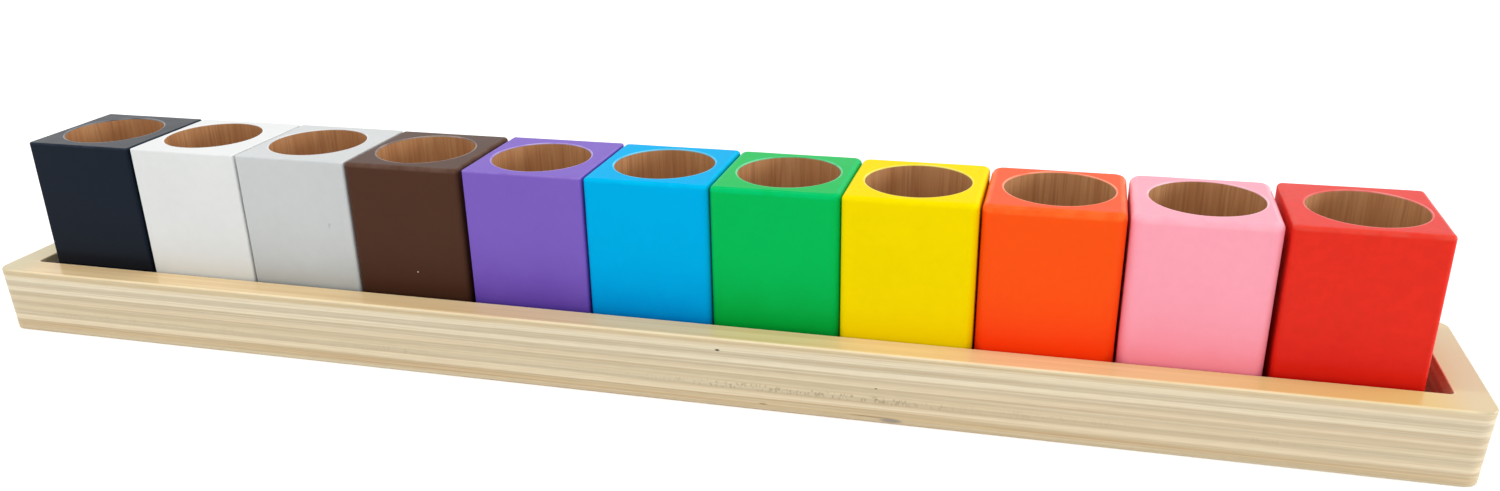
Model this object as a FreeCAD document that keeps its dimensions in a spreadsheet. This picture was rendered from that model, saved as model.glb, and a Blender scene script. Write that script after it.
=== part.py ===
import FreeCAD, Part
import os
import Sketcher

# Crayon holder: eleven painted wooden blocks, each drilled with one blind hole for crayons,
# stand side by side in an open tray. The tray is a frame cut in one piece from a thick
# plywood board and glued on a thin plywood base. The blocks are loose and lift straight out.
# Millimetres, Z up, X along the row, Y to the back, origin under the middle of the tray.

OUT = "parts"

# Sizes that the blocks and the tray share: name, value, meaning
COMMON_SIZES = [
    ("block_width", 35.8, "side of each square block"),
    ("block_height", 57.2, "height of each block"),
    ("bore_wall", 3.6, "wood beside a hole that is drilled in the middle"),
    ("bore_floor", 7.2, "wood under the hole"),
    ("rim_bevel", 0.3, "bevel of the mouth of the hole"),
    ("bottom_bevel", 0.5, "bevel of a block's bottom edges"),
    ("point_radius", 1.6, "mark of the drill's centre point, radius"),
    ("point_depth", 1.4, "mark of the drill's centre point, depth"),
    ("rail_width", 8.8, "width of the tray's frame"),
    ("board_thickness", 17.5, "thickness of the frame's board"),
    ("base_thickness", 3.0, "thickness of the base"),
    ("row_clearance", 1.6, "play of the blocks from front to back"),
    ("left_end_gap", 7.1, "space left of the row"),
    ("right_end_gap", 6.1, "space right of the row"),
    ("tray_corner", 4.0, "outer upright corners of the tray"),
    ("pocket_corner", 1.4, "inner upright corners, the cutter's radius"),
    ("rail_round", 1.2, "outer top edge of the frame"),
    ("pocket_round", 0.4, "inner top edge of the frame"),
    ("foot_round", 0.8, "outer bottom edge of the base"),
]

# The blocks were sanded by hand, some lightly and some until they were well rounded.
# A finish has one radius for the upright edges and one for the top edges.
FINISHES = [
    ("crisp", 0.8, 0.5),
    ("eased", 1.6, 1.1),
    ("soft", 2.4, 1.4),
    ("round", 3.4, 1.9),
]

# Each block from left to right: its colour, its finish, the gap on its left, how far it
# stands behind the middle of the pocket, as a share of the play on either side, and how far
# its hole is off the block's middle, to the right and to the back, as a share of the wall.
BLOCKS = [
    ("black", "crisp", None, -0.50, -0.33, 0.03),
    ("white", "crisp", 0.7, -0.25, -0.62, 0.35),
    ("grey", "crisp", 0.6, -0.05, -0.42, 0.22),
    ("brown", "eased", 0.2, 0.05, -0.22, 0.05),
    ("purple", "crisp", 1.5, 0.25, -0.22, -0.18),
    ("blue", "eased", 0.5, 0.50, 0.03, 0.04),
    ("green", "soft", 0.3, 0.12, 0.06, 0.03),
    ("yellow", "soft", 0.2, -0.50, 0.02, -0.05),
    ("orange", "round", 0.5, -0.38, 0.18, 0.16),
    ("pink", "round", 0.7, -0.38, 0.22, 0.06),
    ("red", "eased", 1.4, 0.08, 0.32, -0.08),
]

# Expressions that more than one feature uses
POCKET_DEPTH = "(sizes.block_width + sizes.row_clearance)"
POCKET_LENGTH = "(sizes.left_end_gap + %d * sizes.block_width + %s + sizes.right_end_gap)" % (
    len(BLOCKS),
    " + ".join("sizes.%s_gap" % colour for colour, _, gap, _, _, _ in BLOCKS if gap),
)

doc = FreeCAD.newDocument("crayon_holder")
sheet = doc.addObject("Spreadsheet::Sheet", "sizes")


def fill_sheet():
    """Every driving dimension: a plain number in a cell of its own, with a name."""
    rows = list(COMMON_SIZES)
    for finish, side, top in FINISHES:
        rows.append((finish + "_side", side, finish + " finish, upright edges"))
        rows.append((finish + "_top", top, finish + " finish, top edges"))
    for colour, _, gap, stand, shift_x, shift_y in BLOCKS:
        if gap is not None:
            rows.append((colour + "_gap", gap, "gap left of the %s block" % colour))
        rows.append((colour + "_stand", stand, "%s block, share of the play" % colour))
        rows.append((colour + "_shift_x", shift_x, "%s hole, to the right" % colour))
        rows.append((colour + "_shift_y", shift_y, "%s hole, to the back" % colour))
    for row, (alias, value, meaning) in enumerate(rows, start=1):
        sheet.set("A%d" % row, meaning)
        sheet.set("B%d" % row, str(value))
        sheet.setAlias("B%d" % row, alias)
    doc.recompute()


def attach(body, feature, height=None):
    """Lays a sketch or a primitive on the body's horizontal plane, at a height above it."""
    planes = body.Origin.OriginFeatures
    level = next(plane for plane in planes if plane.Role == "XY_Plane")
    feature.AttachmentSupport = [(level, "")]
    feature.MapMode = "FlatFace"
    if height:
        feature.setExpression("AttachmentOffset.Base.z", height)


def new_body(name):
    body = doc.addObject("PartDesign::Body", name)
    body.Label = name
    return body


def new_sketch(body, name, height=None):
    sketch = body.newObject("Sketcher::SketchObject", name)
    attach(body, sketch, height)
    return sketch


def constrain(sketch, name, expression, *terms):
    """A named dimension of the sketch that follows the sheet."""
    index = sketch.addConstraint(Sketcher.Constraint(*terms))
    sketch.renameConstraint(index, name)
    sketch.setExpression("Constraints." + name, expression)


def add_rectangle(sketch, name, length, depth, centred=True):
    """A rectangle about the sketch's origin, or with its first corner there."""
    first = sketch.GeometryCount
    size = 20.0
    low = -size / 2 if centred else 0.0
    high = low + size
    corners = [(low, low), (high, low), (high, high), (low, high)]
    for here, there in zip(corners, corners[1:] + corners[:1]):
        start, end = FreeCAD.Vector(*here, 0), FreeCAD.Vector(*there, 0)
        sketch.addGeometry(Part.LineSegment(start, end))
    front, right, back, left = range(first, first + 4)
    for here, there in ((front, right), (right, back), (back, left), (left, front)):
        sketch.addConstraint(Sketcher.Constraint("Coincident", here, 2, there, 1))
    for side in (front, back):
        sketch.addConstraint(Sketcher.Constraint("Horizontal", side))
    for side in (right, left):
        sketch.addConstraint(Sketcher.Constraint("Vertical", side))
    if centred:
        sketch.addConstraint(Sketcher.Constraint("Symmetric", front, 1, back, 1, -1, 1))
    else:
        sketch.addConstraint(Sketcher.Constraint("Coincident", front, 1, -1, 1))
    constrain(sketch, name + "_length", length, "DistanceX", front, 1, front, 2, size)
    constrain(sketch, name + "_depth", depth, "DistanceY", right, 1, right, 2, size)


def add_circle(sketch, name, diameter, across, back):
    """A circle whose middle is set from the sketch's origin."""
    start = 10.0
    middle = FreeCAD.Vector(start, start, 0)
    sketch.addGeometry(Part.Circle(middle, FreeCAD.Vector(0, 0, 1), start))
    constrain(sketch, name + "_across", across, "DistanceX", -1, 1, 0, 3, start)
    constrain(sketch, name + "_back", back, "DistanceY", -1, 1, 0, 3, start)
    constrain(sketch, name + "_diameter", diameter, "Diameter", 0, 2 * start)


def add_length_feature(body, kind, name, profile, length):
    """A pad or a pocket of a sketch."""
    feature = body.newObject(kind, name)
    feature.Profile = profile
    feature.setExpression("Length", length)
    doc.recompute()
    return feature


def dress_edges(body, kind, name, wanted, size_name, size):
    """Rounds or bevels the edges of the body's last feature for which wanted(edge) is true."""
    base = body.Tip
    edges = enumerate(base.Shape.Edges, start=1)
    feature = body.newObject(kind, name)
    feature.Base = (base, ["Edge%d" % number for number, edge in edges if wanted(edge)])
    feature.setExpression(size_name, size)
    doc.recompute()


def add_fillet(body, name, wanted, radius):
    dress_edges(body, "PartDesign::Fillet", name, wanted, "Radius", radius)


def add_bevel(body, name, wanted, size):
    dress_edges(body, "PartDesign::Chamfer", name, wanted, "Size", size)


def is_upright(edge):
    box = edge.BoundBox
    return box.ZLength > 0.5 and box.XLength < 1e-6 and box.YLength < 1e-6


def lies_level(edge, height):
    box = edge.BoundBox
    return abs(box.ZMin - height) < 1e-4 and abs(box.ZMax - height) < 1e-4


def is_full_circle(edge):
    return isinstance(edge.Curve, Part.Circle) and edge.isClosed()


def is_outer(edge, board):
    """True for an edge on the board's outline, false for one round its pocket."""
    middle = edge.CenterOfMass
    box = board.BoundBox
    from_end = min(middle.x - box.XMin, box.XMax - middle.x)
    from_side = min(middle.y - box.YMin, box.YMax - middle.y)
    return min(from_end, from_side) < sheet.rail_width / 2


def bore_middle(colour, axis):
    """Where the hole's axis stands, from the block's left or front face."""
    return "sizes.block_width / 2 + sizes.%s_shift_%s * sizes.bore_wall" % (colour, axis)


def top_radius(colour, finish):
    """The finish's top radius, less where the wall or the corner is too small for it."""
    shift = "max(abs(sizes.%s_shift_x); abs(sizes.%s_shift_y))" % (colour, colour)
    wall = "sizes.bore_wall * (1 - %s) - sizes.rim_bevel" % shift
    return "min(sizes.%s_top; 0.9 * (%s); 0.9 * sizes.%s_side)" % (finish, wall, finish)


def make_block(colour, finish):
    """One sanded and drilled block, with its left front bottom corner at its own origin."""
    body = new_body(colour + "_block")
    outline = new_sketch(body, colour + "_outline")
    add_rectangle(outline, "block", "sizes.block_width", "sizes.block_width", centred=False)
    add_length_feature(body, "PartDesign::Pad", colour + "_blank", outline, "sizes.block_height")
    add_fillet(body, colour + "_sides", is_upright, "sizes.%s_side" % finish)
    top = sheet.block_height
    add_fillet(
        body,
        colour + "_top",
        lambda edge: lies_level(edge, top),
        top_radius(colour, finish),
    )
    add_bevel(
        body,
        colour + "_bottom",
        lambda edge: lies_level(edge, 0),
        "min(sizes.bottom_bevel; 0.9 * sizes.%s_side)" % finish,
    )
    across, back = bore_middle(colour, "x"), bore_middle(colour, "y")
    depth = "sizes.block_height - sizes.bore_floor"
    mouth = new_sketch(body, colour + "_mouth", "sizes.block_height")
    add_circle(mouth, "bore", "sizes.block_width - 2 * sizes.bore_wall", across, back)
    add_length_feature(body, "PartDesign::Pocket", colour + "_bore", mouth, depth)
    add_bevel(
        body,
        colour + "_rim",
        lambda edge: lies_level(edge, top) and is_full_circle(edge),
        "sizes.rim_bevel",
    )
    point = body.newObject("PartDesign::SubtractiveCone", colour + "_point")
    attach(body, point, "sizes.bore_floor - sizes.point_depth")
    point.setExpression("AttachmentOffset.Base.x", across)
    point.setExpression("AttachmentOffset.Base.y", back)
    point.Radius1 = 0
    point.setExpression("Radius2", "sizes.point_radius")
    point.setExpression("Height", "sizes.point_depth")
    doc.recompute()
    return body


def place_block(block, colour, before):
    """Stands a block on the base, at the pocket's left end or beside the one before."""
    if before is None:
        left = "sizes.left_end_gap - %s / 2" % POCKET_LENGTH
    else:
        step = "(sizes.block_width + sizes.%s_gap) * 1 mm" % colour
        left = "%s.Placement.Base.x + %s" % (before.Name, step)
    play = "sizes.%s_stand * sizes.row_clearance / 2" % colour
    block.setExpression("Placement.Base.x", left)
    block.setExpression("Placement.Base.y", "%s - sizes.block_width / 2" % play)
    block.setExpression("Placement.Base.z", "sizes.base_thickness")


def add_tray_outline(sketch):
    """The tray's outline, which the frame and the base share."""
    length = POCKET_LENGTH + " + 2 * sizes.rail_width"
    depth = POCKET_DEPTH + " + 2 * sizes.rail_width"
    add_rectangle(sketch, "tray", length, depth)


def make_frame():
    """The tray's frame, cut in one piece from the board, open from top to bottom."""
    body = new_body("tray_frame")
    outline = new_sketch(body, "frame_outline")
    add_tray_outline(outline)
    add_rectangle(outline, "pocket", POCKET_LENGTH, POCKET_DEPTH)
    pad = add_length_feature(
        body, "PartDesign::Pad", "frame_board", outline, "sizes.board_thickness"
    )
    board = pad.Shape
    top = sheet.board_thickness
    add_fillet(
        body,
        "frame_corners",
        lambda edge: is_upright(edge) and is_outer(edge, board),
        "sizes.tray_corner",
    )
    add_fillet(
        body,
        "pocket_corners",
        lambda edge: is_upright(edge) and not is_outer(edge, board),
        "sizes.pocket_corner",
    )
    add_fillet(
        body,
        "frame_edge",
        lambda edge: lies_level(edge, top) and is_outer(edge, board),
        "sizes.rail_round",
    )
    add_fillet(
        body,
        "pocket_edge",
        lambda edge: lies_level(edge, top) and not is_outer(edge, board),
        "sizes.pocket_round",
    )
    body.setExpression("Placement.Base.z", "sizes.base_thickness")
    return body


def make_base():
    """The thin base, glued under the frame and flush with it all round."""
    body = new_body("tray_base")
    outline = new_sketch(body, "base_outline")
    add_tray_outline(outline)
    add_length_feature(body, "PartDesign::Pad", "base_panel", outline, "sizes.base_thickness")
    add_fillet(body, "base_corners", is_upright, "sizes.tray_corner")
    add_fillet(body, "base_edge", lambda edge: lies_level(edge, 0), "sizes.foot_round")
    return body


def build():
    fill_sheet()
    bodies = [make_base(), make_frame()]
    before = None
    for colour, finish, _, _, _, _ in BLOCKS:
        block = make_block(colour, finish)
        place_block(block, colour, before)
        bodies.append(block)
        before = block
    doc.recompute()
    return bodies


def check(bodies):
    """Stops if a feature failed or a piece isn't one sound solid."""
    for item in doc.Objects:
        if "Invalid" in item.State or "Error" in item.State:
            raise RuntimeError("failed feature: " + item.Name)
    for body in bodies:
        shape = body.Shape
        if shape.isNull() or not shape.isValid() or len(shape.Solids) != 1:
            raise RuntimeError("unsound piece: " + body.Label)


def write(bodies):
    os.makedirs(OUT, exist_ok=True)
    for body in bodies:
        body.Shape.exportStep(os.path.join(OUT, body.Label + ".step"))
        box = body.Shape.optimalBoundingBox()
        low = "%.2f %.2f %.2f" % (box.XMin, box.YMin, box.ZMin)
        high = "%.2f %.2f %.2f" % (box.XMax, box.YMax, box.ZMax)
        print("%s: %.0f mm3, from %s to %s" % (body.Label, body.Shape.Volume, low, high))


pieces = build()
check(pieces)
write(pieces)
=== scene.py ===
"""Looks of a long desk holder: eleven painted, drilled blocks that stand in a plywood tray.

Everything is in metres, in the part's own frame: X along the tray, Y away from the front, Z up.
"""

import math

import bpy
from mathutils import Matrix, Vector


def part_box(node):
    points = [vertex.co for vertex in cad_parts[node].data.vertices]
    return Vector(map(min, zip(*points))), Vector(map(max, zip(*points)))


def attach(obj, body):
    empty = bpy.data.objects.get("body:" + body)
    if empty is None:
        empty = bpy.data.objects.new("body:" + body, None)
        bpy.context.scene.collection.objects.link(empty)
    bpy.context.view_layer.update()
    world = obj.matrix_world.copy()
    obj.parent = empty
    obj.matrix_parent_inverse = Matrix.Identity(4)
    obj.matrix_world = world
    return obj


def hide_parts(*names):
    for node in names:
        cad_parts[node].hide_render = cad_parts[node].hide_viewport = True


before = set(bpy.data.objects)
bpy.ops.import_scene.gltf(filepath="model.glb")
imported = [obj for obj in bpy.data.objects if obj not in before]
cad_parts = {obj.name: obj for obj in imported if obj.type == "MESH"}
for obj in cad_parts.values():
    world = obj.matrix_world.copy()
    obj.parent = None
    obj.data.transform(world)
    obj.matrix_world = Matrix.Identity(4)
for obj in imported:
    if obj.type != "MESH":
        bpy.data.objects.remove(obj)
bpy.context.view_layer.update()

MM = 0.001


# Sizes of the blocks

BORE_RADIUS = 14.3 * MM
BORE_WALL = 3.6 * MM  # wood between the hole and the block's side, where the hole is in the middle
BORE_FLOOR = 7.2 * MM
RIM = 0.3 * MM  # broken edge round the mouth of the hole
FOOT_BEVEL = 0.5 * MM
POINT_RADIUS = 1.6 * MM  # mark that the drill's centre leaves in the floor of the hole
POINT_DEPTH = 1.4 * MM

# How far the upright edges and the top edges of a block were sanded round
SANDINGS = {
    "crisp": (0.8 * MM, 0.5 * MM),
    "eased": (1.6 * MM, 1.1 * MM),
    "soft": (2.4 * MM, 1.4 * MM),
    "round": (3.4 * MM, 1.9 * MM),
}

# Sizes of the tray

TRAY_CORNER = 4.0 * MM
POCKET_CORNER = 1.4 * MM
RAIL_WIDTH = 8.8 * MM
RAIL_ROUND = 0.6 * MM
POCKET_ROUND = 0.4 * MM
FOOT_ROUND = 0.5 * MM
END_SANDED = 0.4 * MM  # taken off each end of the tray by sanding
END_LEAN = 1.0 * MM  # how much further the ends are sanded back at the table than at the top

# The shallow hollows that sanding by hand leaves: how deep they are, how many go to a metre and
# the noise's detail, and how their pattern is moved on from block to block or for the tray
BLOCK_HOLLOW_DEPTH = 0.05 * MM
BLOCK_HOLLOWS = (70.0, 1.0)
BLOCK_HOLLOW_STEP = 0.13
TRAY_HOLLOW_DEPTH = 0.04 * MM
TRAY_HOLLOWS = (45.0, 1.0)
TRAY_HOLLOW_SEED = 2.3
SEED_SHIFT = (1.0, 0.37, 0.71)  # how far a seed of 1 moves the pattern along X, Y and Z
HOLLOWS_FROM, HOLLOWS_TO = 0.5 * MM, 4 * MM  # heights between which the hollows set in

WELD = 0.002 * MM  # how close two points are joined to one
CREASE = math.radians(50)  # edges that are sharper than this stay crisp


def shade(red, green, blue):
    """A colour named by its 0 to 255 screen values, as the linear colour that the shaders use."""
    parts = [value / 255 for value in (red, green, blue)]
    return tuple(
        part / 12.92 if part <= 0.04045 else ((part + 0.055) / 1.055) ** 2.4 for part in parts
    )


# Each block's sanding, the shift of its hole as shares of the wall, its paint, the paint's
# gloss (as an index of refraction) and how deep the painted shade towards its foot is
BLOCKS = {
    "black": ("crisp", (-0.33, 0.03), shade(14, 25, 39), 1.17, 0.35),
    "white": ("crisp", (-0.62, 0.35), shade(227, 229, 228), 1.24, 0.35),
    "grey": ("crisp", (-0.42, 0.22), shade(203, 206, 206), 1.22, 0.85),
    "brown": ("eased", (-0.22, 0.05), shade(80, 51, 38), 1.12, 0.25),
    "purple": ("crisp", (-0.22, -0.18), shade(126, 96, 193), 1.1, 0.55),
    "blue": ("eased", (0.03, 0.04), shade(0, 175, 233), 1.05, 0.75),
    "green": ("soft", (0.06, 0.03), shade(0, 188, 86), 1.11, 0.75),
    "yellow": ("soft", (0.02, -0.05), shade(246, 219, 0), 1.05, 0.22),
    "orange": ("round", (0.18, 0.16), shade(255, 84, 14), 1.15, 0.7),
    "pink": ("round", (0.22, 0.06), shade(255, 165, 183), 1.2, 0.45),
    "red": ("eased", (0.32, -0.08), shade(229, 45, 29), 1.17, 0.6),
}


# Node trees

USUAL_NOISE = (0.3, 0.7)  # nearly all of a noise pattern's values lie between these


class Wire:
    """A socket that can be reckoned with: each sum, product and so on adds a node to the tree."""

    def __init__(self, desk, socket):
        self.desk = desk
        self.socket = socket

    def __add__(self, other):
        return self.desk.math("ADD", self, other)

    def __radd__(self, other):
        return self.desk.math("ADD", other, self)

    def __sub__(self, other):
        return self.desk.math("SUBTRACT", self, other)

    def __rsub__(self, other):
        return self.desk.math("SUBTRACT", other, self)

    def __mul__(self, other):
        return self.desk.math("MULTIPLY", self, other)

    def __rmul__(self, other):
        return self.desk.math("MULTIPLY", other, self)

    def __truediv__(self, other):
        return self.desk.math("DIVIDE", self, other)

    def __rtruediv__(self, other):
        return self.desk.math("DIVIDE", other, self)


class Desk:
    """A node tree under construction. Inputs are given as wires, plain values or sockets."""

    def __init__(self, tree):
        self.tree = tree
        self.entry = None

    def plug(self, socket, value):
        """Links a wire or a socket to an input, or sets the input to a plain value."""
        if isinstance(value, Wire):
            value = value.socket
        if isinstance(value, bpy.types.NodeSocket):
            self.tree.links.new(value, socket)
        else:
            socket.default_value = value

    def add(self, kind, inputs=None, **settings):
        """A new node of that kind, set up and wired."""
        node = self.tree.nodes.new(kind)
        for name, value in settings.items():
            setattr(node, name, value)
        for name, value in (inputs or {}).items():
            self.plug(node.inputs[name], value)
        return node

    def get(self, kind, output=0, inputs=None, **settings):
        """One output of a new node, as a wire."""
        return Wire(self, self.add(kind, inputs, **settings).outputs[output])

    def math(self, operation, *values):
        """A number worked out from numbers."""
        return self.get("ShaderNodeMath", inputs=dict(enumerate(values)), operation=operation)

    def vector(self, operation, *values):
        """A vector worked out from vectors."""
        return self.get(
            "ShaderNodeVectorMath", inputs=dict(enumerate(values)), operation=operation
        )

    def length(self, vector):
        """How long a vector is."""
        return self.get("ShaderNodeVectorMath", "Value", {0: vector}, operation="LENGTH")

    def join(self, x=0.0, y=0.0, z=0.0):
        """A vector made of three numbers."""
        return self.get("ShaderNodeCombineXYZ", inputs={0: x, 1: y, 2: z})

    def split(self, vector):
        """The three numbers that make a vector."""
        node = self.add("ShaderNodeSeparateXYZ", {0: vector})
        return [Wire(self, socket) for socket in node.outputs]

    def times(self, vector, factor):
        """A vector or colour multiplied by a number."""
        return self.vector("MULTIPLY", vector, self.join(factor, factor, factor))

    def between(self, share, start, end):
        """A number that goes from start to end as share goes from 0 to 1."""
        return start + (end - start) * share

    def ramp(self, value, low, high, to_low=0.0, to_high=1.0, smooth=False):
        """A number rescaled from one range to another, and held at the ends."""
        ranges = {"From Min": low, "From Max": high, "To Min": to_low, "To Max": to_high}
        return self.get(
            "ShaderNodeMapRange",
            inputs={"Value": value, **ranges},
            interpolation_type="SMOOTHSTEP" if smooth else "LINEAR",
        )

    def pattern(self, vector, scale, detail, roughness=0.5):
        """Noise with that many features to a metre, or with a count of its own for each axis."""
        if isinstance(scale, tuple):
            vector = self.vector("MULTIPLY", vector, scale)
            scale = 1.0
        return self.get("ShaderNodeTexNoise", inputs={
            "Vector": vector, "Scale": scale, "Detail": detail, "Roughness": roughness
        })

    def spread(self, noise, to_low=0.0, to_high=1.0):
        """A pattern's usual values, stretched over the whole of another range."""
        return self.ramp(noise, *USUAL_NOISE, to_low, to_high)

    def blend(self, share, first, second):
        """A colour mixed from two."""
        colours = [
            (*colour, 1.0) if isinstance(colour, tuple) else colour for colour in (first, second)
        ]
        return self.get(
            "ShaderNodeMix", 2, {0: share, 6: colours[0], 7: colours[1]}, data_type="RGBA"
        )

    def tint(self, tone, noise, colour, low, high, weak=0.0, strong=1.0):
        """A tone mixed with a colour where a pattern's values go from low to high."""
        return self.blend(self.ramp(noise, low, high, weak, strong), tone, colour)

    def input(self, name, kind="Float"):
        """A named input of a geometry tree."""
        socket = self.tree.interface.new_socket(
            name=name, in_out="INPUT", socket_type="NodeSocket" + kind
        )
        if self.entry is None:
            self.entry = self.tree.nodes.new("NodeGroupInput")
        return Wire(self, next(s for s in self.entry.outputs if s.identifier == socket.identifier))

    def result(self, geometry):
        """Ends a geometry tree."""
        self.tree.interface.new_socket(
            name="Geometry", in_out="OUTPUT", socket_type="NodeSocketGeometry"
        )
        self.plug(self.tree.nodes.new("NodeGroupOutput").inputs[0], geometry)
        return self.tree


def shape_desk(name):
    """A new geometry tree."""
    return Desk(bpy.data.node_groups.new(name, "GeometryNodeTree"))


# Shapes

QUARTER_STEPS = 24  # steps round a quarter of an outline
CORNER_STEPS = 10  # of them, those that turn the corner; the rest run along the side
EASE = 0.88  # steps crowd towards the ends of a side or a belt, so that its edges stay crisp
EDGE_LIGHT_SKEW = 1.4  # brings the line of a belt's strongest painted edge light nearer to its end
FULL_TURN = 2 * math.pi
QUARTER_TURN = math.pi / 2

# Rings of faces in each belt of a piece, from the middle of its underside up and over
BLOCK_RINGS = {
    "underside": 6,
    "bevel": 4,
    "side": 22,
    "edge": 8,
    "top": 8,
    "rim": 5,
    "bore": 16,
    "floor": 8,
    "point": 4,
}
FRAME_RINGS = {"underside": 6, "side": 30, "edge": 8, "top": 12, "pocket edge": 5, "pocket": 16}
BASE_RINGS = {"underside": 10, "edge": 6, "side": 6, "top": 10}

# How strongly the upper edges carry painted highlights, and on the tray's ends painted shade
BLOCK_EDGE_LIGHT = 0.5
RAIL_EDGE_LIGHT = 1.0
POCKET_EDGE_LIGHT = 2.5

# What a belt has a start and an end value of
BELT_ENDS = {
    "Corner Centre": "Vector",
    "Corner Radius": "Float",
    "Circle Radius": "Float",
    "Circle Share": "Float",
    "Height": "Float",
}


def belt_tree():
    """A belt of faces between two outlines.

    An outline is a rectangle with round corners, a circle, or a shape between the two. Belts go
    up the outside of a piece, over its top and down its inside, so that the faces point out.
    """
    desk = shape_desk("outline_belt")
    rings = desk.input("Rings", "Int")
    ends = {
        name: [desk.input(f"{name} {end}", kind) for end in ("Start", "End")]
        for name, kind in BELT_ENDS.items()
    }
    upright_first = desk.input("Upright First")
    level_first = desk.input("Level First")
    shift = desk.input("Shift", "Vector")
    bare = desk.input("Bare", "Bool")
    edge = desk.input("Edge")

    grid = desk.get("GeometryNodeMeshGrid", inputs={
        "Size X": 1.0,
        "Size Y": 1.0,
        "Vertices X": 4 * QUARTER_STEPS + 1,
        "Vertices Y": rings + 1,
    })
    x, y, _ = desk.split(desk.get("GeometryNodeInputPosition"))
    step = desk.math("ROUND", (x + 0.5) * (4 * QUARTER_STEPS))
    quarter = desk.math("FLOOR", (step + 0.5) / QUARTER_STEPS)
    step = step - quarter * QUARTER_STEPS
    turned = desk.math("MINIMUM", step / CORNER_STEPS, 1.0) * QUARTER_TURN
    along = desk.math("MAXIMUM", step - CORNER_STEPS, 0.0) / (QUARTER_STEPS - CORNER_STEPS)

    def eased(share):
        return share - desk.math("SINE", share * FULL_TURN) * (EASE / FULL_TURN)

    # How far the belt has come, level and upright: evenly, or round a quarter of a circle
    along = eased(along)
    share = y + 0.5
    straight = 1.0 - upright_first - level_first
    rise = desk.math("SINE", share * QUARTER_TURN)
    rest = 1.0 - desk.math("COSINE", share * QUARTER_TURN)
    even = eased(share) * straight
    level = even + rest * upright_first + rise * level_first
    upright = even + rise * upright_first + rest * level_first

    radius = desk.between(level, *ends["Corner Radius"])
    circle_radius = desk.between(level, *ends["Circle Radius"])
    circle_share = desk.between(level, *ends["Circle Share"])
    height = desk.between(upright, *ends["Height"])
    start_x, start_y, _ = desk.split(ends["Corner Centre"][0])
    end_x, end_y, _ = desk.split(ends["Corner Centre"][1])
    centre_x = desk.between(level, start_x, end_x)
    centre_y = desk.between(level, start_y, end_y)
    odd = desk.math("MODULO", quarter, 2.0)
    near = desk.between(odd, centre_x, centre_y)
    far = desk.between(odd, centre_y, centre_x)

    # One quarter of the outline, then turned to its own side
    side_x = near * (1.0 - along * 2.0) + radius * desk.math("COSINE", turned)
    side_y = far + radius * desk.math("SINE", turned)
    angle = (step - CORNER_STEPS / 2) * (QUARTER_TURN / QUARTER_STEPS) + math.pi / 4
    round_x = circle_radius * desk.math("COSINE", angle)
    round_y = circle_radius * desk.math("SINE", angle)
    own_x = desk.between(circle_share, side_x, round_x)
    own_y = desk.between(circle_share, side_y, round_y)
    facing = quarter * QUARTER_TURN
    cosine = desk.math("ROUND", desk.math("COSINE", facing))
    sine = desk.math("ROUND", desk.math("SINE", facing))
    place = desk.join(own_x * cosine - own_y * sine, own_x * sine + own_y * cosine, height)
    moved = desk.vector("MULTIPLY", shift, desk.join(circle_share, circle_share))
    place = desk.vector("ADD", place, moved)

    # The edge attribute: where painted highlights, and on the tray's ends painted shade, go
    painted_edge_lighting = edge * desk.math("SINE", desk.math("POWER", share, EDGE_LIGHT_SKEW) * math.pi)
    skin = desk.get("GeometryNodeSetPosition", inputs={"Geometry": grid, "Position": place})
    for name, value, kind, domain in (
        ("bare", bare, "BOOLEAN", "FACE"),
        ("edge", painted_edge_lighting, "FLOAT", "POINT"),
    ):
        skin = desk.get(
            "GeometryNodeStoreNamedAttribute",
            inputs={"Geometry": skin, "Name": name, "Value": value},
            data_type=kind,
            domain=domain,
        )
    return desk.result(skin)


BELT = belt_tree()


def belt(desk, rings, centre, radius, height, circle=(0.0, 0.0), share=(0.0, 0.0), *,
         shift=(0.0, 0.0, 0.0), bend="straight", bare=False, edge=0.0):
    """Puts one belt, with that many rings of faces, into a tree.

    Each pair gives the value at the belt's start and at its end. A bend is a quarter round that
    goes "up first" or "level first". The edge says how strongly painted edge light marks the
    belt along its middle.
    """
    values = {
        "Rings": rings,
        "Upright First": 1.0 if bend == "up first" else 0.0,
        "Level First": 1.0 if bend == "level first" else 0.0,
        "Shift": shift,
        "Bare": bare,
        "Edge": edge,
    }
    for name, (start, end) in zip(BELT_ENDS, (centre, radius, circle, share, height)):
        values[f"{name} Start"] = start
        values[f"{name} End"] = end
    return desk.get("GeometryNodeGroup", inputs=values, node_tree=BELT)


def sanded(desk, skin, depth, hollows, seed):
    """Presses into a skin the shallow hollows that sanding by hand leaves."""
    position = desk.get("GeometryNodeInputPosition")
    normal = desk.get("GeometryNodeInputNormal")
    moved = desk.vector("ADD", position, desk.join(*(seed * part for part in SEED_SHIFT)))
    painted_edge_lighting = desk.spread(desk.pattern(moved, *hollows))
    _, _, height = desk.split(position)
    lifted = desk.ramp(height, HOLLOWS_FROM, HOLLOWS_TO, smooth=True)
    pressed = painted_edge_lighting * lifted * depth * -1.0
    return desk.get("GeometryNodeSetPosition", inputs={
        "Geometry": skin, "Offset": desk.times(normal, pressed)
    })


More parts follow.
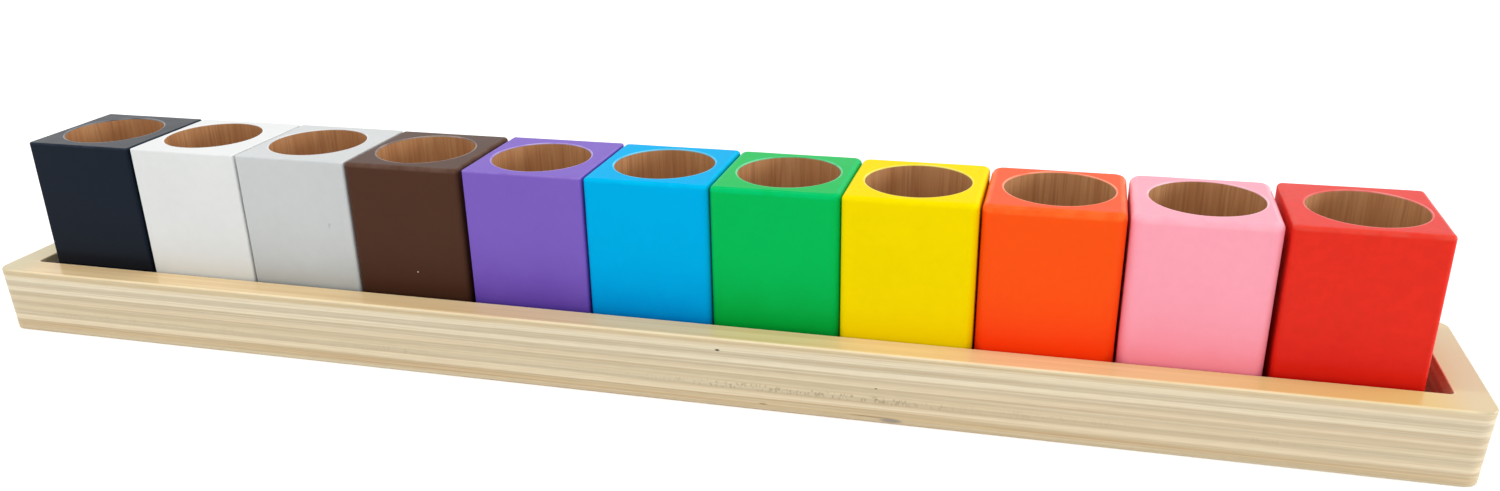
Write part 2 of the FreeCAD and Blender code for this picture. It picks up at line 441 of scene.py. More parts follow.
def closed_piece(desk, belts, hollows=None, place=None):
    """Joins belts to one closed skin, smooth but for its creases, and puts it in its place."""
    joined = desk.add("GeometryNodeJoinGeometry")
    for one in reversed(belts):
        desk.plug(joined.inputs[0], one)
    skin = desk.get(
        "GeometryNodeMergeByDistance", inputs={"Geometry": joined.outputs[0], "Distance": WELD}
    )
    if hollows:
        skin = sanded(desk, skin, *hollows)
    skin = desk.get("GeometryNodeSetShadeSmooth", inputs={"Geometry": skin, "Shade Smooth": True})
    sharp = desk.math("GREATER_THAN", desk.get("GeometryNodeInputMeshEdgeAngle"), CREASE)
    skin = desk.get(
        "GeometryNodeSetShadeSmooth",
        inputs={"Geometry": skin, "Selection": sharp, "Shade Smooth": False},
        domain="EDGE",
    )
    if place:
        skin = desk.get(
            "GeometryNodeTransform", inputs={"Geometry": skin, "Translation": place}
        )
    return desk.get("GeometryNodeRealizeInstances", inputs={"Geometry": skin})


def coated(desk, skin, material, where=True):
    """Gives the faces of a skin their material."""
    return desk.get("GeometryNodeSetMaterial", inputs={
        "Geometry": skin, "Selection": where, "Material": material
    })


def block_tree():
    """A square block with rounded edges and one wide blind hole from above."""
    desk = shape_desk("drilled_block")
    desk.tree.is_modifier = True
    width = desk.input("Width")
    height = desk.input("Height")
    side = desk.input("Side Radius")
    top = desk.input("Top Radius")
    bore = desk.input("Bore Radius")
    floor = desk.input("Bore Floor")
    shift = desk.input("Bore Shift", "Vector")
    rim = desk.input("Rim")
    bevel = desk.input("Foot Bevel")
    point = desk.input("Point Radius")
    depth = desk.input("Point Depth")
    hollow_depth = desk.input("Hollow Depth")
    seed = desk.input("Seed")
    place = desk.input("Place", "Vector")
    paint = desk.input("Paint", "Material")
    wood = desk.input("Bare Wood", "Material")

    count = BLOCK_RINGS
    half = width * 0.5 - side
    centre = (desk.join(half, half),) * 2
    foot = side - bevel
    inset = side - top
    shoulder = height - top
    mouth = bore + rim
    wall_top = height - rim
    belts = [
        belt(desk, count["underside"], centre, (foot, foot), (0.0, 0.0), share=(1.0, 0.0)),
        belt(desk, count["bevel"], centre, (foot, side), (0.0, bevel), bend="level first"),
        belt(desk, count["side"], centre, (side, side), (bevel, shoulder)),
        belt(
            desk, count["edge"], centre, (side, inset), (shoulder, height),
            bend="up first", edge=BLOCK_EDGE_LIGHT,
        ),
    ]
    # The top round the hole, its broken rim, its wall, its floor and the mark of the drill
    for part, heights, radii, roundness, bend, bare in (
        ("top", (height, height), (mouth, mouth), (0.0, 1.0), "straight", False),
        ("rim", (height, wall_top), (mouth, bore), (1.0, 1.0), "level first", False),
        ("bore", (wall_top, floor), (bore, bore), (1.0, 1.0), "straight", True),
        ("floor", (floor, floor), (bore, point), (1.0, 1.0), "straight", True),
        ("point", (floor, floor - depth), (point, 0.0), (1.0, 1.0), "straight", True),
    ):
        belts.append(belt(
            desk, count[part], centre, (inset, inset), heights, radii, roundness,
            shift=shift, bend=bend, bare=bare,
        ))
    skin = closed_piece(desk, belts, (hollow_depth, BLOCK_HOLLOWS, seed), place)
    is_bare = desk.get(
        "GeometryNodeInputNamedAttribute", inputs={"Name": "bare"}, data_type="BOOLEAN"
    )
    return desk.result(coated(desk, coated(desk, skin, paint), wood, is_bare))


def frame_tree():
    """A ring cut from one thick board: two long rails and two ends round the blocks' pocket."""
    desk = shape_desk("tray_frame_ring")
    desk.tree.is_modifier = True
    length = desk.input("Length")
    lean = desk.input("Lean")
    depth = desk.input("Depth")
    bottom = desk.input("Bottom")
    top = desk.input("Top")
    pocket_length = desk.input("Pocket Length")
    rail = desk.input("Rail Width")
    corner = desk.input("Outer Corner")
    pocket_corner = desk.input("Pocket Corner")
    rounding = desk.input("Rail Round")
    pocket_round = desk.input("Pocket Round")
    hollow_depth = desk.input("Hollow Depth")
    seed = desk.input("Seed")
    wood = desk.input("Plywood", "Material")

    outer = desk.join(length * 0.5 - corner, depth * 0.5 - corner)
    outer_low = desk.join(length * 0.5 - lean - corner, depth * 0.5 - corner)
    inner = desk.join(pocket_length * 0.5 - pocket_corner, depth * 0.5 - rail - pocket_corner)
    inset = corner - rounding
    mouth = pocket_corner + pocket_round
    rail_edge = (top - rounding, top)
    pocket_edge = (top, top - pocket_round)
    pocket_wall = (top - pocket_round, bottom)
    side = (bottom, top - rounding)
    count = FRAME_RINGS
    belts = [
        belt(
            desk, count["underside"], (inner, outer_low), (pocket_corner, corner),
            (bottom, bottom),
        ),
        belt(desk, count["side"], (outer_low, outer), (corner, corner), side),
        belt(
            desk, count["edge"], (outer, outer), (corner, inset), rail_edge,
            bend="up first", edge=RAIL_EDGE_LIGHT,
        ),
        belt(desk, count["top"], (outer, inner), (inset, mouth), (top, top)),
        belt(
            desk, count["pocket edge"], (inner, inner), (mouth, pocket_corner), pocket_edge,
            bend="level first", edge=POCKET_EDGE_LIGHT,
        ),
        belt(
            desk, count["pocket"], (inner, inner), (pocket_corner, pocket_corner), pocket_wall
        ),
    ]
    skin = closed_piece(desk, belts, (hollow_depth, TRAY_HOLLOWS, seed))
    return desk.result(coated(desk, skin, wood))


def base_tree():
    """A thin panel of the tray's outline, with its lower edge eased."""
    desk = shape_desk("tray_base_panel")
    desk.tree.is_modifier = True
    length = desk.input("Length")
    lean = desk.input("Lean")
    depth = desk.input("Depth")
    top = desk.input("Top")
    corner = desk.input("Outer Corner")
    rounding = desk.input("Foot Round")
    wood = desk.input("Plywood", "Material")

    outer = desk.join(length * 0.5 - corner, depth * 0.5 - corner)
    outer_low = desk.join(length * 0.5 - lean - corner, depth * 0.5 - corner)
    low_pair = (outer_low, outer_low)
    inset = corner - rounding
    count = BASE_RINGS
    belts = [
        belt(desk, count["underside"], low_pair, (inset, inset), (0.0, 0.0), share=(1.0, 0.0)),
        belt(desk, count["edge"], low_pair, (inset, corner), (0.0, rounding), bend="level first"),
        belt(desk, count["side"], (outer_low, outer), (corner, corner), (rounding, top)),
        belt(
            desk, count["top"], (outer, outer), (corner, corner), (top, top), share=(0.0, 1.0)
        ),
    ]
    return desk.result(coated(desk, closed_piece(desk, belts), wood))


def piece_from(tree, name, **values):
    """A plain mesh object made by a tree. Values are given by the names of the tree's inputs."""
    mesh = bpy.data.meshes.new(name)
    piece = bpy.data.objects.new(name, mesh)
    bpy.context.scene.collection.objects.link(piece)
    maker = piece.modifiers.new("maker", "NODES")
    maker.node_group = tree
    wanted = {key.replace("_", " ").lower(): value for key, value in values.items()}
    for socket in tree.interface.items_tree:
        if socket.in_out == "INPUT":
            maker[socket.identifier] = wanted.pop(socket.name.lower())
    if wanted:
        raise ValueError(f"{name}: the tree has no input named {sorted(wanted)}")
    graph = bpy.context.evaluated_depsgraph_get()
    plain = bpy.data.meshes.new_from_object(
        piece.evaluated_get(graph), preserve_all_data_layers=True, depsgraph=graph
    )
    piece.modifiers.clear()
    piece.data = plain
    plain.name = name
    bpy.data.meshes.remove(mesh)
    return piece


# Finishes
#
# Each pattern below has its features to a metre, in all directions or along X, Y and Z, and then
# the noise's detail and, where it isn't the usual one, its roughness. A tint is a colour, then
# the two values of a pattern between which it sets in, and its least and greatest share.

PAINT_CLOUDS = (42.0, 3.0)
PAINT_PATCHES = (360.0, 3.0, 0.6)
FOOT_SHADE_DRIFTS = (90.0, 3.0)
# Patterns of the painted highlights on the blocks' edges and round the mouths of the holes
EDGE_HIGHLIGHT_PATTERN = (260.0, 2.0)
RIM_HIGHLIGHT_PATTERN = (130.0, 2.0)
PAINT_WAVES = (150.0, 1.0)
PAINT_PEEL = (900.0, 1.0)
PAINT_GRAIN = ((420.0, 420.0, 20.0), 2.0)

# A span is two values of a pattern, and often what these become
PAINT_CHANGE = 0.02  # how much paler and deeper its clouds make the paint
PATCH_SPAN = (0.35, 0.65, -0.5, 0.5)
MOTTLE = {"red": 0.07}  # blocks whose paint dried uneven
USUAL_MOTTLE = 0.02
FOOT_SHADE_MIDDLE = 25 * MM  # painted shade is strong below this height and faint above it
FOOT_SHADE_FADE = 5 * MM
FOOT_SHADE_WANDER = 6 * MM  # how far up and down the painted shade's edge wanders
EDGE_HIGHLIGHT = 0.55  # how much the painted highlight on the edges pales the paint
EDGE_HIGHLIGHT_SPAN = (0.3, 0.6, 0.35, 1.0)
RIM_HIGHLIGHT_REACH = (0.3 * MM, 0.05 * MM)  # how far beyond the rim its painted highlight line ends, and where it is full
RIM_HIGHLIGHT_SPAN = (0.35, 0.6, 0.3, 0.75)
RIM_HIGHLIGHT_WHITE = 0.25  # share of white in that line
SATIN = (0.17, 0.24)  # roughness of the paint
SIDE_RUB = 0.4  # added roughness where a block rubs against its neighbours
SIDE_FACING = (0.75, 0.98)  # how squarely those faces look along the row
WAVE_HEIGHT, PEEL_HEIGHT, GRAIN_HEIGHT = 0.05, 0.007, 0.012  # mm
PAINT_SEED = (0.31, 0.17, 0.05)  # how far the paint's patterns move on from block to block

# Marks in the paint: middle and half sizes in mm, tone, strength
MARK_FADE = (1.0, 0.45)  # shares of its size at which a mark ends, and within which it is full
PAINT_MARKS = {
    "brown": (((-70.87, -17.86, 28.05), (0.3, 0.5, 0.26), shade(226, 220, 212), 0.9),),
    "grey": (
        ((-97.98, -17.94, 40.4), (0.8, 0.5, 1.0), shade(172, 175, 176), 0.7),
        ((-97.6, -17.94, 40.1), (0.65, 0.5, 0.85), shade(203, 206, 206), 0.9),
    ),
}

BORE_FIBRES = ((1500.0, 1500.0, 45.0), 3.0, 0.6)
BORE_BANDS = ((260.0, 260.0, 8.0), 2.0)
BORE_DARK = shade(186, 129, 79)
BORE_PALE = shade(203, 151, 100)
BORE_FIBRE = (shade(150, 92, 51), 0.55, 0.35, 0.0, 0.45)
BORE_ROUGHNESS = 0.62
BORE_RELIEF = 0.05 * MM


def finish_desk(name):
    """A new material with an empty tree, its shader and its Object coordinates."""
    material = bpy.data.materials.new(name)
    material.use_nodes = True
    desk = Desk(material.node_tree)
    desk.tree.nodes.clear()
    shader = desk.add("ShaderNodeBsdfPrincipled")
    desk.add("ShaderNodeOutputMaterial", {0: shader.outputs[0]})
    where = desk.get("ShaderNodeTexCoord", "Object")
    return material, desk, shader, where


def relief(desk, shader, height, distance):
    """Gives a finish its fine relief."""
    bump = desk.get("ShaderNodeBump", inputs={
        "Height": height, "Distance": distance, "Strength": 1.0
    })
    desk.plug(shader.inputs["Normal"], bump)


def highlighted_tone(colour):
    """The tone of a paint under a painted highlight."""
    return tuple(math.sqrt(part) for part in colour)


def spot(desk, where, centre, size):
    """How much of a small mark, of that centre and half sizes in mm, lies at a point: 0 to 1."""
    offset = desk.vector("SUBTRACT", where, tuple(value * MM for value in centre))
    offset = desk.vector("DIVIDE", offset, tuple(value * MM for value in size))
    return desk.ramp(desk.length(offset), *MARK_FADE, smooth=True)


def block_paint(name, colour, gloss, foot_shade, seed, mottle, marks, mouth):
    """Satin enamel, rolled on by hand over fine-grained wood.

    The paint is deeper in colour towards the foot, which is painted shade, carries painted
    highlights on the edges and round the mouth of the hole, and is matt on the two sides that
    rub against the neighbours.
    """
    material, desk, shader, place = finish_desk(name)
    where = desk.vector("ADD", place, tuple(part * seed for part in PAINT_SEED))
    cloud = desk.spread(desk.pattern(where, *PAINT_CLOUDS))
    deep = tuple(part * (1 - PAINT_CHANGE) for part in colour)
    light = tuple(min(part * (1 + PAINT_CHANGE), 1.0) for part in colour)
    tone = desk.blend(cloud, deep, light)
    patch = desk.ramp(desk.pattern(where, *PAINT_PATCHES), *PATCH_SPAN)
    tone = desk.times(tone, 1.0 + patch * mottle)

    # Painted shade: deeper in colour towards the foot, where the rail shades the block
    _, _, height = desk.split(place)
    foot_shade_shift = (desk.pattern(where, *FOOT_SHADE_DRIFTS) - 0.5) * FOOT_SHADE_WANDER
    above = (height + foot_shade_shift - FOOT_SHADE_MIDDLE) * (1 / FOOT_SHADE_FADE)
    foot_shade_share = 1.0 / (1.0 + desk.math("EXPONENT", above))
    tone = desk.blend(foot_shade_share, tone, tuple(part ** (1 + foot_shade) for part in colour))

    # Painted highlights on the edges and round the mouth of the hole
    edge = desk.get("ShaderNodeAttribute", 2, attribute_name="edge")
    edge_highlight = edge * desk.ramp(desk.pattern(where, *EDGE_HIGHLIGHT_PATTERN), *EDGE_HIGHLIGHT_SPAN)
    tone = desk.blend(edge_highlight * EDGE_HIGHLIGHT, tone, highlighted_tone(colour))
    offset = desk.vector("MULTIPLY", desk.vector("SUBTRACT", place, mouth), (1.0, 1.0, 0.0))
    lip = desk.ramp(desk.length(offset) - (BORE_RADIUS + RIM), *RIM_HIGHLIGHT_REACH)
    painted_edge_lighting = lip * desk.ramp(desk.pattern(where, *RIM_HIGHLIGHT_PATTERN), *RIM_HIGHLIGHT_SPAN)
    rim_highlight = tuple((1 - RIM_HIGHLIGHT_WHITE) * part + RIM_HIGHLIGHT_WHITE for part in highlighted_tone(colour))
    tone = desk.blend(painted_edge_lighting, tone, rim_highlight)
    for centre, size, mark, strength in marks:
        tone = desk.blend(spot(desk, place, centre, size) * strength, tone, mark)
    desk.plug(shader.inputs["Base Color"], tone)

    facing, _, _ = desk.split(desk.get("ShaderNodeTexCoord", "Normal"))
    rubbing = desk.ramp(desk.math("ABSOLUTE", facing), *SIDE_FACING)
    roughness = desk.ramp(cloud, 0.0, 1.0, *SATIN) + rubbing * SIDE_RUB
    desk.plug(shader.inputs["Roughness"], roughness)
    wave = desk.pattern(where, *PAINT_WAVES) * WAVE_HEIGHT
    peel = desk.pattern(where, *PAINT_PEEL) * PEEL_HEIGHT
    grain = desk.pattern(where, *PAINT_GRAIN) * GRAIN_HEIGHT
    relief(desk, shader, wave + peel + grain, 1.0 * MM)
    shader.inputs["IOR"].default_value = gloss
    return material


def bare_wood(name):
    """Unpainted wood inside the holes, with its grain upright."""
    material, desk, shader, where = finish_desk(name)
    fibre = desk.pattern(where, *BORE_FIBRES)
    band = desk.pattern(where, *BORE_BANDS)
    tone = desk.blend(desk.spread(band), BORE_DARK, BORE_PALE)
    tone = desk.tint(tone, fibre, *BORE_FIBRE)
    desk.plug(shader.inputs["Base Color"], tone)
    shader.inputs["Roughness"].default_value = BORE_ROUGHNESS
    relief(desk, shader, fibre, BORE_RELIEF)
    return material


# The plywood's layers, from the table up: where each starts, in mm, and its tone on a cut edge
CREAM = (233, 220, 190)
LAYERS = (
    (0.0, (209, 191, 156)),
    (1.2, (205, 184, 147)),
    (1.8, (213, 192, 153)),
    (2.6, (206, 186, 149)),
    (3.8, (232, 216, 183)),
    (5.5, (207, 191, 159)),
    (7.2, (219, 203, 169)),
    (8.6, (208, 192, 159)),
    (10.4, (224, 207, 174)),
    (11.8, (206, 189, 157)),
    (13.6, CREAM),
    (15.1, (208, 194, 164)),
    (16.9, CREAM),
    (18.5, (214, 195, 156)),
)
LAYER_BLUR = 0.2  # mm over which one layer's tone passes into the next
BOARD_TOP = 20.5  # mm above the table
LAYER_DRIFTS = ((14.0, 14.0, 60.0), 2.0)
LAYER_DRIFT = 0.9 * MM  # how far the layers wander up and down along the board
LAYER_RIPPLES = ((120.0, 120.0, 200.0), 2.0)
LAYER_RIPPLE = 0.25 * MM

# Lines along the grain of the cut edge
STREAKS = ((9.0, 420.0, 900.0), 3.0, 0.6)
DARK_STREAK = (shade(196, 164, 120), 0.5, 0.8, 0.0, 0.25)
PALE_STREAK = (shade(240, 228, 200), 0.45, 0.2, 0.0, 0.3)
FINE_LINES = ((7.0, 700.0, 2400.0), 2.0)
DARK_LINE = shade(184, 142, 98)
DARK_LINE_SPAN = (0.53, 0.66)
DARK_LINE_SHARE = (4.2 * MM, 3.4 * MM, 0.2, 0.5)  # its least share is above, its greatest below
PALE_LINE = (shade(246, 236, 212), 0.46, 0.32, 0.0, 0.3)
PORES = ((170.0, 900.0, 2300.0), 2.0, 0.6)
PORE_CHANGE = 0.035

# Towards the right end the cut edge is greyer, with more lines
RIGHT_PART = (90 * MM, 190 * MM)
RIGHT_TONE = shade(207, 190, 158)
RIGHT_SHARE = 0.22
RIGHT_LINES = ((5.0, 500.0, 1400.0), 1.0)
RIGHT_LINE_SPAN = (0.4, 0.6, -0.05, 0.05)

# Torn end grain that the saw left in one layer
TORN_FIBRES = ((1300.0, 1300.0, 800.0), 2.0, 0.7)
TORN_FIBRE_SPAN = (0.53, 0.62)
TORN_PATCHES = ((26.0, 26.0, 26.0), 1.0)
TORN_PATCH_SPAN = (0.45, 0.6, 0.0, 0.25)
TORN_LOW = (5.6 * MM, 6.2 * MM)
TORN_HIGH = (8.0 * MM, 7.4 * MM)
TORN_TONE = shade(158, 136, 104)
TORN_SHARE = 0.55

# Marks on the front edge: the middle's x and z, half the length and half the height, all in mm,
# then tone and strength
FRONT = -27.5  # mm, where the front edge is
FRONT_SKIN = (-26.6 * MM, -27.2 * MM)  # between these the marks set in
TORN_SPOT = ((49.0, FRONT, 6.8), (48.0, 6.0, 4.0))  # middle and half sizes of the largest torn part
FRONT_MARKS = (
    (23.2, 17.0, 0.85, 0.36, (36, 24, 18), 1.0),
    (67.0, 10.2, 0.5, 0.3, (110, 84, 60), 0.8),
    (67.1, 6.9, 0.4, 0.28, (126, 100, 76), 0.7),
    (35.9, 2.0, 1.6, 0.25, (142, 98, 62), 0.75),
    (71.2, 1.1, 3.9, 0.8, (150, 141, 130), 0.85),
    (65.5, 1.7, 8.0, 0.24, (140, 112, 82), 0.6),
)
MARK_DEPTH = 4.0  # mm, half of how deep a mark's ellipsoid is

# The face veneer on the board's top: yellower to the right, a painted warm bounce from the
# orange, pink and red blocks there, and paler over both ends
VENEER_GRAIN = ((7.0, 330.0, 100.0), 3.0, 0.6)
VENEER_DARK = shade(228, 194, 142)
VENEER_PALE = shade(243, 215, 166)
VENEER_BOUNCE_TINT = shade(224, 197, 124)
VENEER_END = shade(217, 202, 160)
VENEER_HEIGHT = (19.9 * MM, 20.4 * MM)
BOUNCE_TINT_PART = (100 * MM, 185 * MM)
BOUNCE_TINT_DRIFT = 30 * MM
END_PART = (199 * MM, 211 * MM)
END_DRIFT = 16 * MM
# Painted edge light on the board: a cream highlight along the upper edges, grey shade round the
# ends
EDGE_LIGHT_PATTERN = (60.0, 2.0)
EDGE_LIGHT_SPAN = (0.3, 0.6, 0.4, 0.9)
EDGE_LIGHT_LINE = (0.72, 1.0)  # how far out on an edge its painted light begins and is full
EDGE_HIGHLIGHT_CREAM = shade(250, 234, 196)
EDGE_HIGHLIGHT_PART = (213 * MM, 209 * MM)
EDGE_SHADE_GREY = shade(190, 178, 152)  # painted shade on the edges round the tray's corners
EDGE_SHADE_SHARE = 0.6

LACQUER_HEIGHT = (19.6 * MM, 20.2 * MM)
LACQUER = (0.42, 0.2)  # roughness on the cut edge and on the face
LACQUER_GLOSS = 1.42
STREAK_HEIGHT, LINE_HEIGHT, TORN_DEPTH = 0.03, 0.01, 0.05  # mm


def layer_ramp(desk, level):
    """The tone of the plywood's cut edge at a height."""
    ramp = desk.add("ShaderNodeValToRGB", {0: level / (BOARD_TOP * MM)})
    stops = []
    for (_, below), (height, above) in zip(LAYERS, LAYERS[1:]):
        stops += [(height - LAYER_BLUR, below), (height + LAYER_BLUR, above)]
    elements = ramp.color_ramp.elements
    while len(elements) < len(stops):
        elements.new(0.5)
    for element, (height, tone) in zip(elements, stops):
        element.position = height / BOARD_TOP
        element.color = (*shade(*tone), 1.0)
    return Wire(desk, ramp.outputs[0])


def plywood(name):
    """Birch plywood under clear satin lacquer: layers by height, and a warmer veneer on top."""
    material, desk, shader, where = finish_desk(name)
    x, y, z = desk.split(where)
    drift = desk.pattern(where, *LAYER_DRIFTS) - 0.5
    ripple = desk.pattern(where, *LAYER_RIPPLES) - 0.5
    tone = layer_ramp(desk, z + drift * LAYER_DRIFT + ripple * LAYER_RIPPLE)

    # Long streaks, each layer with its own, and fine lines and pores along the grain
    streak = desk.pattern(where, *STREAKS)
    tone = desk.tint(tone, streak, *DARK_STREAK)
    tone = desk.tint(tone, streak, *PALE_STREAK)
    fine = desk.pattern(where, *FINE_LINES)
    dark = desk.ramp(fine, *DARK_LINE_SPAN) * desk.ramp(z, *DARK_LINE_SHARE)
    tone = desk.blend(dark, tone, DARK_LINE)
    tone = desk.tint(tone, fine, *PALE_LINE)
    pore = desk.pattern(where, *PORES)
    tone = desk.times(tone, desk.spread(pore, 1 - PORE_CHANGE, 1 + PORE_CHANGE))

    right = desk.ramp(x, *RIGHT_PART)
    tone = desk.blend(right * RIGHT_SHARE, tone, RIGHT_TONE)
    line = desk.ramp(desk.pattern(where, *RIGHT_LINES), *RIGHT_LINE_SPAN)
    tone = desk.times(tone, 1.0 + line * right)

    patch = desk.ramp(desk.pattern(where, *TORN_PATCHES), *TORN_PATCH_SPAN)
    patch = desk.math("MAXIMUM", patch, spot(desk, where, *TORN_SPOT))
    band = desk.ramp(z, *TORN_LOW) * desk.ramp(z, *TORN_HIGH)
    torn = desk.ramp(desk.pattern(where, *TORN_FIBRES), *TORN_FIBRE_SPAN) * patch * band
    tone = desk.blend(torn * TORN_SHARE, tone, TORN_TONE)

    front = desk.ramp(y, *FRONT_SKIN)
    for x_mark, z_mark, length, height, mark, strength in FRONT_MARKS:
        share = spot(desk, where, (x_mark, FRONT, z_mark), (length, MARK_DEPTH, height))
        tone = desk.blend(share * front * strength, tone, shade(*mark))

    veneer = desk.pattern(where, *VENEER_GRAIN)
    face = desk.blend(desk.spread(veneer), VENEER_DARK, VENEER_PALE)
    # Painted bounce light: the veneer turns yellower towards the orange, pink and red blocks
    face = desk.blend(desk.ramp(x + drift * BOUNCE_TINT_DRIFT, *BOUNCE_TINT_PART), face, VENEER_BOUNCE_TINT)
    reach = desk.math("ABSOLUTE", x)
    at_end = desk.ramp(reach + drift * END_DRIFT, *END_PART, smooth=True)
    face = desk.blend(at_end, face, VENEER_END)
    tone = desk.blend(desk.ramp(z, *VENEER_HEIGHT), tone, face)

    # Painted highlights along the rail's and the pocket's upper edges, painted shade round the ends
    edge = desk.get("ShaderNodeAttribute", 2, attribute_name="edge")
    painted_edge_lighting = desk.ramp(desk.pattern(where, *EDGE_LIGHT_PATTERN), *EDGE_LIGHT_SPAN)
    painted_edge_lighting = desk.ramp(edge, *EDGE_LIGHT_LINE, smooth=True) * painted_edge_lighting
    along = desk.ramp(reach, *EDGE_HIGHLIGHT_PART)
    tone = desk.blend(painted_edge_lighting * along, tone, EDGE_HIGHLIGHT_CREAM)
    tone = desk.blend(painted_edge_lighting * (1.0 - along) * EDGE_SHADE_SHARE, tone, EDGE_SHADE_GREY)
    desk.plug(shader.inputs["Base Color"], tone)
    desk.plug(shader.inputs["Roughness"], desk.ramp(z, *LACQUER_HEIGHT, *LACQUER))
    height = streak * STREAK_HEIGHT + fine * LINE_HEIGHT - torn * TORN_DEPTH
    relief(desk, shader, height, 1.0 * MM)
    shader.inputs["IOR"].default_value = LACQUER_GLOSS
    return material


# The holder

wood = bare_wood("bare_wood")
ply = plywood("birch_plywood")
drilled_block = block_tree()

for number, (colour, (sanding, shift, tone, gloss, foot_shade)) in enumerate(BLOCKS.items()):
    node = f"{colour}_block"
    low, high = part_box(node)
    side, top = SANDINGS[sanding]
    middle = [(low.x + high.x) / 2, (low.y + high.y) / 2, low.z]
    bore_shift = [part * BORE_WALL for part in shift] + [0.0]
    paint = block_paint(
        f"{colour}_enamel",
        tone,
        gloss,
        foot_shade,
        number,
        MOTTLE.get(colour, USUAL_MOTTLE),
        PAINT_MARKS.get(colour, ()),
        [part + step for part, step in zip(middle, bore_shift)],
    )
    piece = piece_from(
        drilled_block,
        f"{colour}_block_painted",
        width=high.x - low.x,
        height=high.z - low.z,
        side_radius=side,
        top_radius=top,
        bore_radius=BORE_RADIUS,
        bore_floor=BORE_FLOOR,
        bore_shift=bore_shift,
        rim=RIM,
        foot_bevel=FOOT_BEVEL,
        point_radius=POINT_RADIUS,
        point_depth=POINT_DEPTH,
        hollow_depth=BLOCK_HOLLOW_DEPTH,
        seed=BLOCK_HOLLOW_STEP * number,
        place=middle,
        paint=paint,
        bare_wood=wood,
    )
    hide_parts(node)
    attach(piece, node)

low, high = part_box("tray_frame")
board_share = (high.z - low.z) / high.z  # of the tray's height, the share that the frame has
frame_length = high.x - low.x - 2 * END_SANDED
frame_lean = END_LEAN * board_share
piece = piece_from(
    frame_tree(),
    "tray_frame_lacquered",
    length=frame_length,
    lean=frame_lean,
    pocket_length=high.x - low.x - 2 * RAIL_WIDTH,
    depth=high.y - low.y,
    bottom=low.z,
    top=high.z,
    rail_width=RAIL_WIDTH,
    outer_corner=TRAY_CORNER,
    pocket_corner=POCKET_CORNER,
    rail_round=RAIL_ROUND,
    pocket_round=POCKET_ROUND,
    hollow_depth=TRAY_HOLLOW_DEPTH,
    seed=TRAY_HOLLOW_SEED,
    plywood=ply,
)
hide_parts("tray_frame")
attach(piece, "tray")

low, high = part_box("tray_base")
piece = piece_from(
    base_tree(),
    "tray_base_lacquered",
    length=frame_length - 2 * frame_lean,
    lean=END_LEAN - frame_lean,
    depth=high.y - low.y,
    top=high.z,
    outer_corner=TRAY_CORNER,
    foot_round=FOOT_ROUND,
    plywood=ply,
)
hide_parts("tray_base")
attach(piece, "tray")


# Studio

WHITE = (1.0, 1.0, 1.0, 1.0)
FLOOR_HALF = 6.0
FLOOR_COLOUR = (0.95, 0.95, 0.95, 1.0)
GLOW_REACH = (0.3, 1.2)  # metres from the tray's middle, between which the floor's glow grows
GLOW = (0.2, 1.0)  # its strength at these two distances
ROOM_LEVEL = 0.82

# Each lamp's place, the spot that it points at, its width and height, and its power in watts
LAMPS = {
    "overhead": ((-0.35, -0.1, 1.2), (-0.35, -0.1, 0.0), (1.3, 0.06), 4.4),
    "right": ((1.2, 0.15, 0.28), (0.2, 0.0, 0.04), (0.5, 0.3), 4.5),
    "front": ((0.55, -1.3, 0.85), (0.0, 0.0, 0.03), (1.2, 0.8), 1.35),
}

CAMERA_PLACE = (0.111993, -0.320668, 0.161824)
CAMERA_TURN = 15.13  # degrees to the left of straight back
CAMERA_TILT = 23.03  # degrees down
CAMERA_ROLL = -0.986  # degrees
LENS = 29.808  # mm
SENSOR = 36.0  # mm
LENS_RAISED = 0.0363  # share of the frame's width
NEAREST, FURTHEST = 0.01, 50.0


def seen_directly(desk):
    """1 for what the camera sees, also in a gloss or through glass, and 0 for cast light."""
    seen = desk.add("ShaderNodeLightPath").outputs
    direct = desk.math("MAXIMUM", seen["Is Camera Ray"], seen["Is Glossy Ray"])
    return desk.math("MAXIMUM", direct, seen["Is Transmission Ray"])


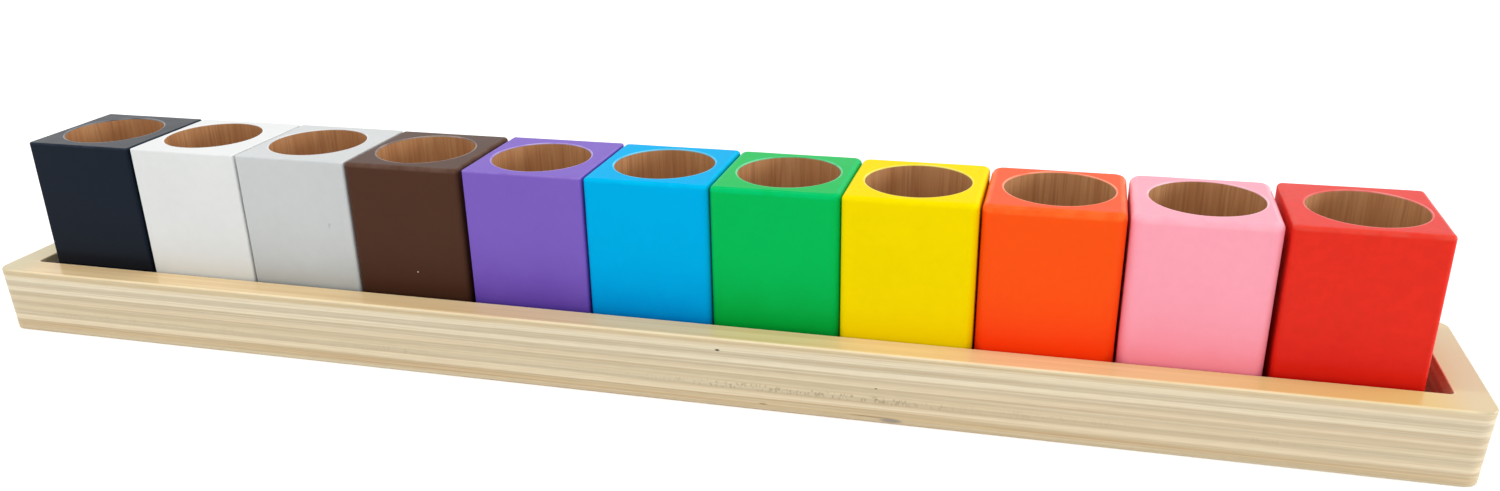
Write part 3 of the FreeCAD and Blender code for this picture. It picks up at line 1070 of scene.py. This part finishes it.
def white_floor():
    """A white table top that shows as pure white and keeps the holder's shadow."""
    far = FLOOR_HALF
    corners = [(-far, -far, 0), (far, -far, 0), (far, far, 0), (-far, far, 0)]
    mesh = bpy.data.meshes.new("floor")
    mesh.from_pydata(corners, [], [(0, 1, 2, 3)])
    floor = bpy.data.objects.new("floor", mesh)
    bpy.context.scene.collection.objects.link(floor)
    material = bpy.data.materials.new("floor_white")
    material.use_nodes = True
    desk = Desk(material.node_tree)
    desk.tree.nodes.clear()
    plain = desk.get("ShaderNodeBsdfDiffuse", inputs={"Color": FLOOR_COLOUR})
    away = desk.length(desk.get("ShaderNodeTexCoord", "Object"))
    strength = desk.ramp(away, *GLOW_REACH, *GLOW, smooth=True)
    glow = desk.get("ShaderNodeEmission", inputs={"Color": WHITE, "Strength": strength})
    both = desk.get("ShaderNodeAddShader", inputs={0: plain, 1: glow})
    mixed = desk.get("ShaderNodeMixShader", inputs={0: seen_directly(desk), 1: plain, 2: both})
    desk.add("ShaderNodeOutputMaterial", {0: mixed})
    floor.data.materials.append(material)


def white_room(level):
    """An even white room, at the given level for the light and pure white where it is seen."""
    world = bpy.data.worlds.new("white_room")
    bpy.context.scene.world = world
    world.use_nodes = True
    desk = Desk(world.node_tree)
    desk.tree.nodes.clear()
    strength = desk.between(seen_directly(desk), level, 1.0)
    light = desk.get("ShaderNodeBackground", inputs={"Color": WHITE, "Strength": strength})
    desk.add("ShaderNodeOutputWorld", {0: light})


def lamp(name, place, aim, size, power):
    """A soft rectangular lamp that points at a spot."""
    data = bpy.data.lights.new(name, "AREA")
    data.shape = "RECTANGLE"
    data.size, data.size_y = size
    data.energy = power
    light = bpy.data.objects.new(name, data)
    bpy.context.scene.collection.objects.link(light)
    light.location = place
    light.rotation_euler = (Vector(aim) - Vector(place)).to_track_quat("-Z", "Y").to_euler()


def camera():
    """The photograph's viewpoint: close to the right end, looking down along the row."""
    data = bpy.data.cameras.new("camera")
    data.lens = LENS
    data.sensor_width = SENSOR
    data.shift_y = LENS_RAISED
    data.clip_start = NEAREST
    data.clip_end = FURTHEST
    view = bpy.data.objects.new("camera", data)
    bpy.context.scene.collection.objects.link(view)
    turn, tilt, roll = map(math.radians, (CAMERA_TURN, CAMERA_TILT, CAMERA_ROLL))
    forward = Vector((
        -math.sin(turn) * math.cos(tilt),
        math.cos(turn) * math.cos(tilt),
        -math.sin(tilt),
    ))
    level = forward.cross(Vector((0.0, 0.0, 1.0))).normalized()
    raised = level.cross(forward)
    right = level * math.cos(roll) + raised * math.sin(roll)
    up = right.cross(forward)
    facing = Matrix((right, up, -forward)).transposed().to_4x4()
    view.matrix_world = Matrix.Translation(CAMERA_PLACE) @ facing
    bpy.context.scene.camera = view


white_floor()
white_room(ROOM_LEVEL)
for name, settings in LAMPS.items():
    lamp(name, *settings)
camera()
bpy.context.scene.view_settings.view_transform = "Standard"
